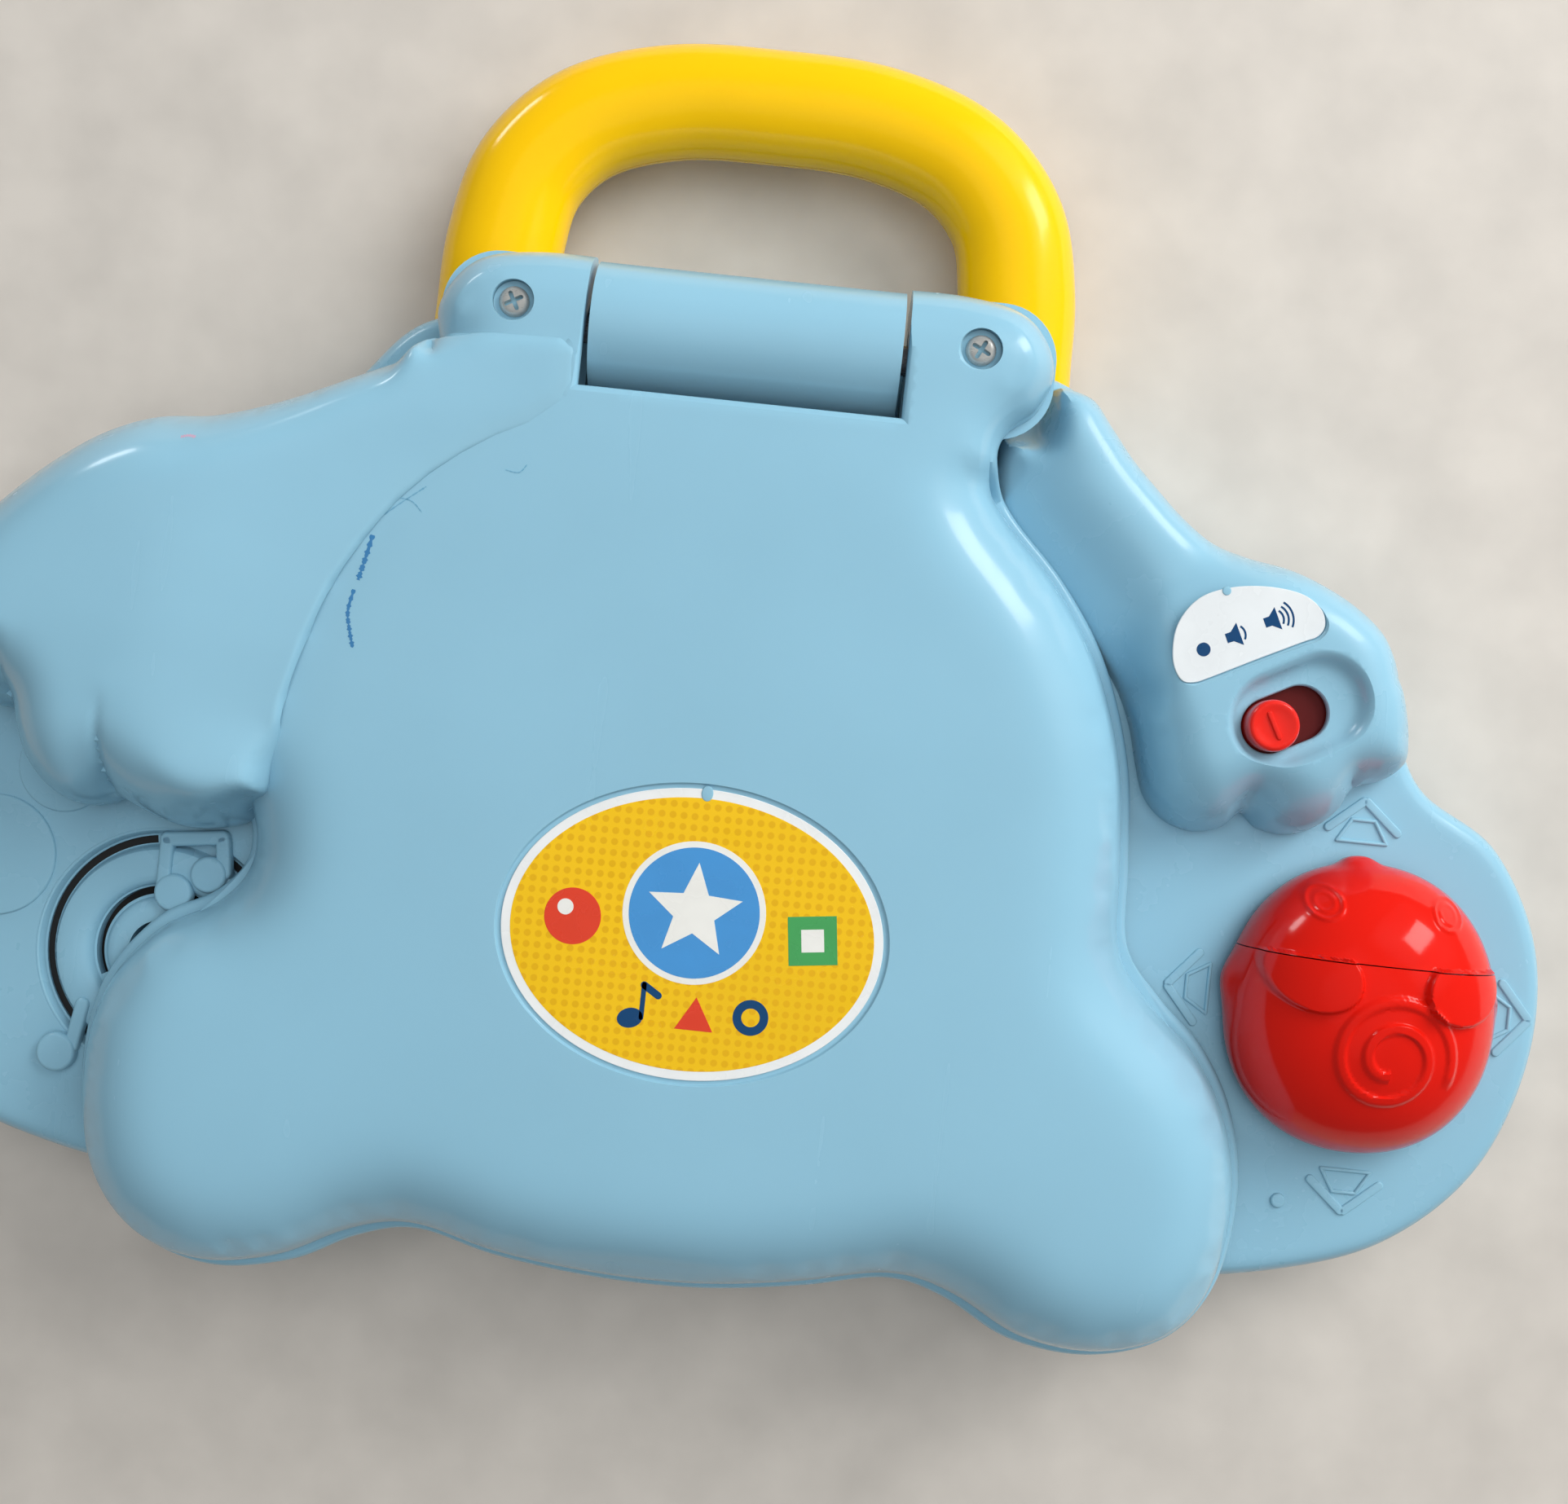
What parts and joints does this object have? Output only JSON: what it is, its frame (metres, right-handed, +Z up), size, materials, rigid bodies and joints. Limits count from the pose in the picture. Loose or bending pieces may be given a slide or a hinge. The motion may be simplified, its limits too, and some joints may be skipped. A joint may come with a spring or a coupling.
{
  "type": "toy laptop computer",
  "caption": "Toddler laptop toy: wide blue base with music and mouse lobes, domed hinged lid with a raised paw, yellow carry handle, volume slider and shape keys.",
  "frame": {"origin": "centre of the footprint at the plane the rubber feet stand on", "axes": "+Z up, +Y from the front edge to the hinge and carry handle, +X to the mouse side"},
  "size_m": [0.2985, 0.2235, 0.0515],
  "materials": {
    "shell_blue": "gloss",
    "handle_yellow": "gloss",
    "mouse_red": "gloss",
    "knob_red": "gloss",
    "screw_steel": "satin",
    "pin_steel": "satin",
    "label_print": "satin",
    "label_white": "satin",
    "rubber_grey": "matte",
    "board_green": "satin",
    "chip_black": "matte",
    "membrane_white": "matte",
    "speaker_black": "matte",
    "speaker_paper": "matte",
    "magnet_steel": "satin",
    "cell_wrap": "gloss",
    "contact_nickel": "satin",
    "window_clear": "gloss",
    "lamp_clear": "gloss",
    "inner_white": "satin",
    "key_red": "gloss",
    "key_yellow": "gloss",
    "key_green": "gloss",
    "key_orange": "gloss",
    "key_purple": "gloss"
  },
  "bodies": {
    "base": {"base_bottom_shell": "shell_blue", "base_top_shell": "shell_blue", "hinge_barrel": "shell_blue", "handle_upper": "handle_yellow", "handle_lower": "handle_yellow", "hinge_pin_left": "pin_steel", "hinge_pin_right": "pin_steel", "volume_label": "label_white", "case_screws": "screw_steel", "handle_screws": "screw_steel", "battery_door_screw": "screw_steel", "mouse_guide": "inner_white", "switch_body": "speaker_black", "switch_board": "board_green", "main_pcb": "board_green", "sound_chip": "chip_black", "keypad_membrane": "membrane_white", "speaker_frame": "magnet_steel", "speaker_magnet": "magnet_steel", "speaker_cone": "speaker_paper", "battery_door": "shell_blue", "batteries": "cell_wrap", "battery_contacts": "contact_nickel", "battery_springs": "contact_nickel", "rubber_feet": "rubber_grey", "lid_rests": "rubber_grey"},
    "lid": {"lid_outer_shell": "shell_blue", "lid_inner_shell": "shell_blue", "lid_label": "label_print", "knuckle_screws": "screw_steel", "screen_window": "window_clear", "lid_pcb": "board_green", "screen_lamps": "lamp_clear"},
    "volume_slider": {"volume_knob": "knob_red", "switch_actuator": "pin_steel"},
    "mouse_cross": {"mouse_cross_slide": "inner_white"},
    "mouse": {"mouse_carriage": "mouse_red", "mouse_body": "mouse_red"},
    "mouse_click": {"mouse_head": "mouse_red"},
    "key_circle_press": {"key_circle": "key_red"},
    "key_triangle_press": {"key_triangle": "key_yellow"},
    "key_square_press": {"key_square": "key_green"},
    "key_star_press": {"key_star": "key_yellow"},
    "key_hexagon_press": {"key_hexagon": "key_orange"},
    "key_diamond_press": {"key_diamond": "key_red"},
    "key_flower_press": {"key_flower": "key_purple"},
    "key_oval_press": {"key_oval": "key_green"},
    "key_arch_press": {"key_arch": "key_orange"}
  },
  "joints": [
    {"name": "lid_hinge", "type": "hinge", "parent": "base", "child": "lid", "pos_m": [0, 0.0545, 0.034], "axis": [-1, 0, 0], "range_deg": [0, 110]},
    {"name": "volume_slide", "type": "slide", "parent": "base", "child": "volume_slider", "axis": [0.8829, 0.4695, 0], "range_m": [0, 0.0056]},
    {"name": "mouse_slide_x", "type": "slide", "parent": "base", "child": "mouse_cross", "axis": [1, 0, 0], "range_m": [-0.0015, 0.0015], "stiffness_N_per_m": 400},
    {"name": "mouse_slide_y", "type": "slide", "parent": "mouse_cross", "child": "mouse", "axis": [0, 1, 0], "range_m": [-0.0015, 0.0015], "stiffness_N_per_m": 400},
    {"name": "mouse_click_hinge", "type": "hinge", "parent": "mouse", "child": "mouse_click", "pos_m": [0.1152, -0.0376, 0.0286], "axis": [-1, 0, 0], "range_deg": [0, 3.5], "stiffness_Nm_per_rad": 0.4, "springref_deg": -2.86},
    {"name": "key_circle_press_slide", "type": "slide", "parent": "base", "child": "key_circle_press", "axis": [0, 0, -1], "range_m": [0, 0.0018], "stiffness_N_per_m": 300, "springref_m": -0.001},
    {"name": "key_triangle_press_slide", "type": "slide", "parent": "base", "child": "key_triangle_press", "axis": [0, 0, -1], "range_m": [0, 0.0018], "stiffness_N_per_m": 300, "springref_m": -0.001},
    {"name": "key_square_press_slide", "type": "slide", "parent": "base", "child": "key_square_press", "axis": [0, 0, -1], "range_m": [0, 0.0018], "stiffness_N_per_m": 300, "springref_m": -0.001},
    {"name": "key_star_press_slide", "type": "slide", "parent": "base", "child": "key_star_press", "axis": [0, 0, -1], "range_m": [0, 0.0018], "stiffness_N_per_m": 300, "springref_m": -0.001},
    {"name": "key_hexagon_press_slide", "type": "slide", "parent": "base", "child": "key_hexagon_press", "axis": [0, 0, -1], "range_m": [0, 0.0018], "stiffness_N_per_m": 300, "springref_m": -0.001},
    {"name": "key_diamond_press_slide", "type": "slide", "parent": "base", "child": "key_diamond_press", "axis": [0, 0, -1], "range_m": [0, 0.0018], "stiffness_N_per_m": 300, "springref_m": -0.001},
    {"name": "key_flower_press_slide", "type": "slide", "parent": "base", "child": "key_flower_press", "axis": [0, 0, -1], "range_m": [0, 0.0018], "stiffness_N_per_m": 300, "springref_m": -0.001},
    {"name": "key_oval_press_slide", "type": "slide", "parent": "base", "child": "key_oval_press", "axis": [0, 0, -1], "range_m": [0, 0.0018], "stiffness_N_per_m": 300, "springref_m": -0.001},
    {"name": "key_arch_press_slide", "type": "slide", "parent": "base", "child": "key_arch_press", "axis": [0, 0, -1], "range_m": [0, 0.0018], "stiffness_N_per_m": 300, "springref_m": -0.001}
  ]
}
